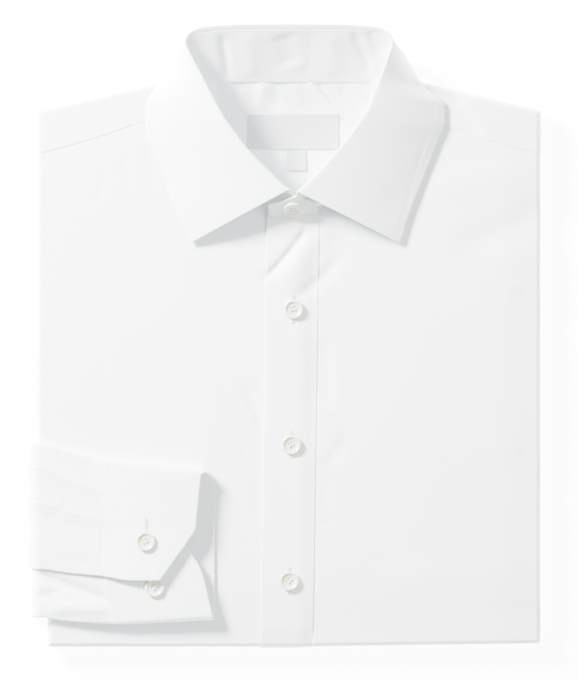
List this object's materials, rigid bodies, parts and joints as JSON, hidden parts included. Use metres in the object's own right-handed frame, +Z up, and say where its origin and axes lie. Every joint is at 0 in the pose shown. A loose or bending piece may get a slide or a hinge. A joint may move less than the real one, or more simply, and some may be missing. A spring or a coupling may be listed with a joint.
{
  "type": "folded dress shirt",
  "caption": "Long-sleeved dress shirt folded flat for display, collar standing, with one sleeve and its buttoned cuff laid over the front.",
  "frame": {"origin": "centre of the folded shirt's underside, in the plane that it rests on", "axes": "+Z up from the surface, +Y from the bottom fold to the collar, +X to the right of one who looks at the front with the collar at the top"},
  "size_m": [0.3348, 0.4066, 0.0386],
  "materials": {
    "white_cotton": "matt white cotton poplin",
    "stiff_cotton": "white cotton poplin, interlined and topstitched",
    "label_satin": "woven white satin, bare",
    "button_pearl": "polished pearl-coloured resin"
  },
  "bodies": {
    "root": {"folded_back_layers": "white_cotton", "front_right": "white_cotton", "front_left": "white_cotton", "front_placket": "stiff_cotton", "yoke_shoulder_right": "white_cotton", "yoke_shoulder_left": "white_cotton", "yoke_back": "white_cotton", "collar_band": "stiff_cotton", "collar_leaf": "stiff_cotton", "sleeve_right": "white_cotton", "cuff_right": "stiff_cotton", "neck_label": "label_satin", "size_tag": "label_satin", "button_collar": "button_pearl", "button_front_1": "button_pearl", "button_front_2": "button_pearl", "button_front_3": "button_pearl", "button_cuff_1": "button_pearl", "button_cuff_2": "button_pearl"}
  },
  "joints": []
}
